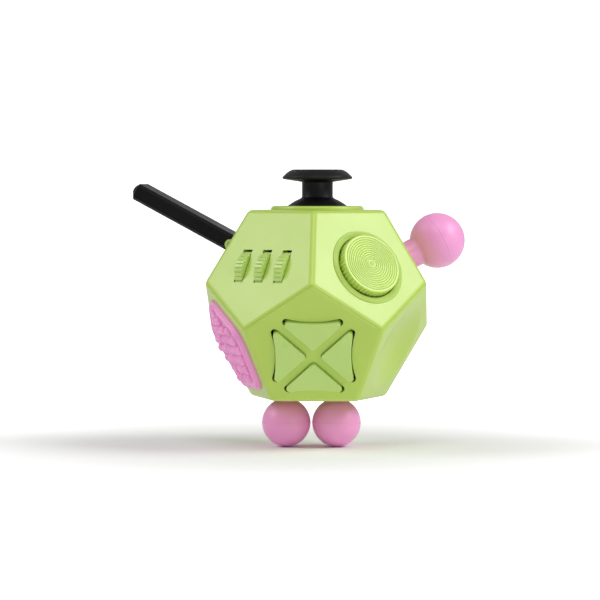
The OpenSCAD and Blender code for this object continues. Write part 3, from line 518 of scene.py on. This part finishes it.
def stickProfile():
    # half the cap's section; the skirt is part of a ball about the pivot
    pivot = -stick["pivotDepth"]
    low = math.degrees(math.asin(stick["skirtLow"] / stick["skirt"]))
    stemMeet = math.degrees(math.acos(stick["stem"] / stick["skirt"]))
    inside = stick["skirt"] - stick["skirtWall"]
    insideLow = math.degrees(math.asin(stick["skirtLow"] / inside))
    rim, top = stick["cap"], stick["top"]
    underside = top - stick["thick"]
    profile = [(0.0, pivot + inside)]
    profile += arc(0, pivot, inside, 86, insideLow, 18)
    profile += arc(0, pivot, stick["skirt"], low, stemMeet - 3, 24)
    profile += [(stick["stem"] + out, pivot + up) for out, up in stick["foot"]]
    profile += [(stick["stem"], underside - 0.15), (stick["stem"] + 0.15, underside)]
    profile += [(rim - 0.6, underside + 0.68)]
    profile += arc(rim - stick["lip"], underside + 1.12, stick["lip"], -65, 35, 7)
    profile += [(rim - back, underside + up) for back, up in stick["flank"]]
    profile += arc(rim - 2.8, top - stick["shoulder"], stick["shoulder"], 55, 90, 4)
    profile += [(rim - 3.3, top)]
    profile += arc(rim - 3.9, top - stick["dishEdge"], stick["dishEdge"], 90, 160, 4)
    profile += [(rim - back, top - down) for back, down in stick["dish"]]
    return profile + [(0.0, top - stick["dishDeep"])]


def buildJoystick():
    piece = turned("thumb_stick_cap", stickProfile(), 128)
    cutters = []
    length, width, depth = stick["notch"]
    for i in range(4):
        turn = math.radians(45 + 90 * i)
        away = (stick["cap"] - stick["notchIn"]) * mm
        spot = (away * math.cos(turn), away * math.sin(turn), stick["top"] * mm)
        bpy.ops.mesh.primitive_cube_add(size=1, location=spot, rotation=(0, 0, turn))
        cutter = bpy.context.object
        cutter.scale = (length * mm, width * mm, 2 * depth * mm)
        bpy.ops.object.transform_apply(location=True, rotation=True, scale=True)
        cutters.append(cutter)
    for cutter in cutters:
        applyModifier(piece, "BOOLEAN", object=cutter, operation="DIFFERENCE", solver="EXACT")
        bpy.data.objects.remove(cutter)
    applyModifier(piece, "BEVEL", width=stick["softEdge"] * mm, segments=2, limit_method="ANGLE",
                  angle_limit=math.radians(50))
    bpy.ops.object.shade_smooth_by_angle(angle=math.radians(smoothAngle["turned"]))
    settle(piece, Matrix.Translation(caseCentre + Vector((0, 0, case["halfWidth"] * mm))))
    standIn(piece, blackRubber, ["joystick_cap"])


buildJoystick()
print("joystick cap turned")


def dialProfile():
    # half the dial's section: its rim, the rings turned in its face and the pip in the middle
    radius, top, low, edge = dial["radius"], dial["top"], dial["low"], dial["rimEdge"]
    end = radius - dial["ringEnd"]
    step = (end - dial["ringStart"]) / dial["rings"]
    profile = [(0.0, low), (radius - dial["foot"], low), (radius, low + dial["foot"])]
    profile += [(radius, top - 2 * edge), (radius, top - edge)]
    profile += arc(radius - edge, top - edge, edge, 20, 90, 6)
    for i in range(dial["rings"]):
        outer = end - step * i
        for across, deep in dial["groove"]:
            profile.append((outer - step * across, top - dial["ringDeep"] * deep))
    return profile + [(out, top + up) for out, up in dial["pip"]]


def buildDial():
    radius, top = dial["radius"], dial["top"]
    steps = dial["notches"] * dial["linesPerNotch"]
    piece = turned("dial_turned", dialProfile(), steps)
    # every fourth line of the rim is drawn in, to make the finger notches
    makeActive(piece)
    for vertex in piece.data.vertices:
        distance = math.hypot(vertex.co.x, vertex.co.y)
        line = round(math.degrees(math.atan2(vertex.co.y, vertex.co.x)) / 360 * steps)
        onRim = distance > (radius - 0.16) * mm and vertex.co.z < (top - 0.2) * mm
        vertex.select = onRim and line % dial["linesPerNotch"] == 0
    for part in (piece.data.edges, piece.data.polygons):
        for element in part:
            element.select = False
    bpy.ops.object.mode_set(mode="EDIT")
    bpy.ops.mesh.select_mode(type="VERT")
    shrink = 1 - dial["notchDeep"] / radius
    bpy.ops.transform.resize(value=(shrink, shrink, 1), center_override=(0, 0, 0))
    bpy.ops.object.mode_set(mode="OBJECT")
    bpy.ops.object.shade_smooth_by_angle(angle=math.radians(smoothAngle["dial"]))
    settle(piece, dialPlace())
    standIn(piece, dialAbs, ["dial_knob"])


buildDial()
print("dial turned")


# The arrow keys: how far each reaches out and to the sides, its rounding and how far it stands proud
keys = {"reach": 10.8, "halfWidth": 9, "inner": 1.75, "bow": 1.0, "bowParts": 6, "corner": 0.9,
        "proud": 1.0, "low": -3.4, "bevel": 0.75, "bevelSteps": 5, "middle": -1.7}
keyTurn = {"right": 0, "up": 90, "left": 180, "down": 270}


def keyOutline():
    # a triangle whose long side bows in
    side = []
    for i in range(keys["bowParts"] + 1):
        t = (2 * i - keys["bowParts"]) / keys["bowParts"]
        side.append((keys["reach"] - keys["bow"] * (1 - t * t), keys["halfWidth"] * t))
    return roundedOutline([(keys["inner"], 0)] + side, keys["corner"])


def buildKeys():
    outline = keyOutline()
    for name, turn in keyTurn.items():
        piece = filledOutline("arrow_key_" + name + "_moulded", outline)
        bpy.ops.transform.translate(value=(0, 0, keys["low"] * mm))
        bpy.ops.mesh.extrude_region_move(
            TRANSFORM_OT_translate={"value": (0, 0, (keys["proud"] - keys["low"]) * mm)})
        bpy.ops.mesh.select_all(action="SELECT")
        bpy.ops.mesh.normals_make_consistent(inside=False)
        bpy.ops.object.mode_set(mode="OBJECT")
        nearTop = (keys["proud"] - 0.1) * mm
        for edge in piece.data.edges:
            edge.select = all(piece.data.vertices[v].co.z > nearTop for v in edge.vertices)
        for face in piece.data.polygons:
            face.select = face.center.z > nearTop
        bpy.ops.object.mode_set(mode="EDIT")
        bpy.ops.mesh.select_mode(type="EDGE")
        bpy.ops.mesh.bevel(offset=keys["bevel"] * mm, segments=keys["bevelSteps"], affect="EDGES",
                           clamp_overlap=True)
        bpy.ops.object.mode_set(mode="OBJECT")
        bpy.ops.object.shade_smooth_by_angle(angle=math.radians(smoothAngle["keys"]))
        applyModifier(piece, "WEIGHTED_NORMAL", keep_sharp=True)
        middle = Matrix.Translation((0, keys["middle"] * mm, 0))
        settle(piece, facePlace("keys") @ middle @ Matrix.Rotation(math.radians(turn), 4, "Z"))
        standIn(piece, keyAbs, ["arrow_key_" + name])


buildKeys()
print("arrow keys moulded")


# The massage pad: its outline, its border and groove, and the nubs, which lean, stretch and sink at random.
# A nub turns this many times as far as it may lean
pad = {
    "inradius": 12.2, "corner": 5.5, "depth": 1.0, "borderTop": 0.8, "border": 0.8, "softEdge": 0.22,
    "groove": 0.4, "grooveWall": 0.08, "grooveLow": 0.1, "floor": 0.4, "nubTop": 2.8, "nub": 1.4,
    "nubFoot": 0.3, "nubFillet": 0.35, "nubWaist": (0.93, 0.42), "nubDome": 0.94, "pitch": 3.3,
    "margin": 2.7, "seed": 7,
    "lean": 11, "turnTimes": 20, "stretch": (0.88, 1.2), "sink": (0.72, 1.0),
}


def padSpots():
    # rows of nubs, each half a pitch beside the last, as far as the border leaves room
    row = pad["pitch"] * math.sqrt(3) / 2
    spots = []
    for j in range(-4, 5):
        for i in range(-4, 5):
            x, y = pad["pitch"] * (i + (0 if j % 2 == 0 else 0.5)), row * j
            sides = [math.radians(-90 + 72 * k) for k in range(5)]
            if max(x * math.cos(s) + y * math.sin(s) for s in sides) < pad["inradius"] - pad["margin"]:
                spots.append((x, y))
    return spots


def nubProfile():
    # half a nub's section: a foot sunk in the pad's floor, a fillet, and a dome
    height = pad["nubTop"] - pad["floor"]
    radius, foot, fillet = pad["nub"], pad["nub"] + pad["nubFoot"], pad["nubFillet"]
    waist, waistUp = pad["nubWaist"]
    dome = radius * pad["nubDome"]
    profile = [(0.0, -0.2), (foot, -0.2), (foot, 0.0)]
    profile += arc(foot, fillet, fillet, 270, 190, 4)[1:]
    profile += [(radius * waist, height * waistUp)]
    return profile + arc(0, height - dome, dome, 0, 90, 8)


def nubTurn(draws):
    lean = [math.radians(draws.uniform(-pad["lean"], pad["lean"])) for _ in range(3)]
    stretch = draws.uniform(*pad["stretch"])
    turn = Matrix.Rotation(lean[0], 4, "X") @ Matrix.Rotation(lean[1], 4, "Y")
    turn = turn @ Matrix.Rotation(lean[2] * pad["turnTimes"], 4, "Z")
    return turn @ Matrix.Diagonal((stretch, 1 / stretch, draws.uniform(*pad["sink"]), 1))


def buildPad():
    far = pad["inradius"] / math.cos(math.radians(36))
    corners = [(far * math.cos(math.radians(90 + 72 * i)), far * math.sin(math.radians(90 + 72 * i)))
               for i in range(5)]
    piece = filledOutline("massage_pad_moulded", roundedOutline(corners, pad["corner"], 10))
    bpy.ops.transform.translate(value=(0, 0, -pad["depth"] * mm))
    rise = pad["borderTop"] + pad["depth"]
    bpy.ops.mesh.extrude_region_move(TRANSFORM_OT_translate={"value": (0, 0, rise * mm)})
    bpy.ops.object.mode_set(mode="OBJECT")
    for part in (piece.data.vertices, piece.data.edges):
        for element in part:
            element.select = False
    for face in piece.data.polygons:
        face.select = face.center.z > (pad["borderTop"] - 0.1) * mm
    bpy.ops.object.mode_set(mode="EDIT")
    bpy.ops.mesh.select_mode(type="FACE")
    bpy.ops.mesh.inset(thickness=pad["border"] * mm, depth=0)
    wall = pad["grooveWall"]
    bpy.ops.mesh.inset(thickness=wall * mm, depth=(pad["grooveLow"] - pad["borderTop"]) * mm)
    bpy.ops.mesh.inset(thickness=(pad["groove"] - 2 * wall) * mm, depth=0)
    bpy.ops.mesh.inset(thickness=wall * mm, depth=(pad["floor"] - pad["grooveLow"]) * mm)
    bpy.ops.mesh.select_all(action="SELECT")
    bpy.ops.mesh.normals_make_consistent(inside=False)
    bpy.ops.object.mode_set(mode="OBJECT")
    applyModifier(piece, "BEVEL", width=pad["softEdge"] * mm, segments=3, limit_method="ANGLE",
                  angle_limit=math.radians(40))
    nubs = [piece]
    draws = random.Random(pad["seed"])
    for x, y in padSpots():
        nub = turned("nub", nubProfile(), 20)
        settle(nub, Matrix.Translation((x * mm, y * mm, pad["floor"] * mm)) @ nubTurn(draws))
        nubs.append(nub)
    makeActive(piece)
    for nub in nubs:
        nub.select_set(True)
    bpy.ops.object.join()
    bpy.ops.object.shade_smooth_by_angle(angle=math.radians(smoothAngle["pad"]))
    settle(piece, facePlace("pad"))
    standIn(piece, pinkSilicone, ["massage_pad"])


buildPad()
print("massage pad moulded")


# The soft balls: each one's size, how far it stands from its face, and the part of its neck that bends
bigBall = {"radius": 7.45, "reach": 12.3, "neck": 3.82, "fillet": 0.45, "root": 0.4, "gate": 1.6,
           "bendLow": 0.6, "bendHigh": 5.6, "steps": 96}
twinBall = {"radius": 6.5, "drop": 6.6, "spacing": 13.4, "shift": -1.6, "neck": 2.2, "fillet": 0.5,
            "root": 0.7, "gate": 3.0, "bendIn": 0.6, "bendOut": 0.9, "steps": 80}
ballMarks = {"skin": 0.05, "ridge": 0.07, "gateDeep": 0.12}  # room in the frame's ball, the mould's marks


def ballProfile(radius, middle, neck, fillet, root, gate):
    # neck from the wall, a fillet into the ball, a ridge where the mould halves met, a round gate mark
    ridge = ballMarks["ridge"]
    meet = math.degrees(math.asin((neck + fillet * 0.35) / radius))
    profile = [(0.0, root), (neck, root)]
    start = middle - math.sqrt(radius ** 2 - neck ** 2)
    profile += [(neck, start - fillet * 0.9), (neck + fillet * 0.08, start - fillet * 0.35)]
    profile += arc(0, middle, radius, -90 + meet, -1.6, 22)
    profile += [(radius + ridge, middle - 0.06), (radius + ridge, middle + 0.1)]
    profile += [(radius - 0.03, middle + 0.22)]
    gateTurn = math.degrees(math.acos(gate / radius))
    profile += arc(0, middle, radius, 3.2, gateTurn - 1.4, 18)
    profile += arc(0, middle, radius - ballMarks["gateDeep"], gateTurn - 0.7, gateTurn + 0.7, 2)
    profile += arc(0, middle, radius + 0.02, gateTurn + 1.5, 88, 8) + [(0.0, middle + radius + 0.02)]
    return profile


def buildBigBall():
    profile = ballProfile(bigBall["radius"] - ballMarks["skin"], bigBall["reach"], bigBall["neck"],
                          bigBall["fillet"], -bigBall["root"], bigBall["gate"])
    piece = turned("bounce_ball_moulded", profile, bigBall["steps"])
    settle(piece, facePlace("ball"))
    onFace("ball", 0, 0, bigBall["bendLow"])
    onFace("ball", 0, 0, bigBall["bendHigh"])
    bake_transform(piece)
    standIn(piece, pinkSilicone, ["bounce_ball", "bounce_ball_anchor"], bends=True)


def buildTwinBalls():
    under = Matrix.Translation(caseCentre - Vector((0, 0, case["halfWidth"] * mm)))
    down = Matrix.Rotation(math.pi, 4, "X")
    for name, side in (("left", -1), ("right", 1)):
        profile = ballProfile(twinBall["radius"] - ballMarks["skin"], twinBall["drop"], twinBall["neck"],
                              twinBall["fillet"], -twinBall["root"], twinBall["gate"])
        piece = turned("twin_ball_" + name + "_moulded", profile, twinBall["steps"])
        x = (twinBall["shift"] + side * twinBall["spacing"] / 2) * mm
        settle(piece, under @ Matrix.Translation((x, 0, 0)) @ down)
        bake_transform(piece)
        standIn(piece, pinkSilicone, ["twin_ball_" + name, "twin_ball_anchor_" + name], bends=True)


buildBigBall()
buildTwinBalls()
print("soft balls moulded")


# The other mouldings keep the frame's shape: how far their edges are broken, the angle, and the steps
edgeBreaks = {"flip_lever": (0.35, 25, 3), "rocker_switch": (0.35, 40, 3)}
edgeBreaks.update({"toothed_roller_" + side: (0.07, 40, 1) for side in ("left", "middle", "right")})
edgeBreaks.update({"click_key_" + str(i): (0.15, 40, 2) for i in range(1, 6)})


def buildRest():
    for name, (edge, angle, segments) in edgeBreaks.items():
        refined(name, edge, angle, segments)


buildRest()
print("lever, rocker, rollers and click keys refined")
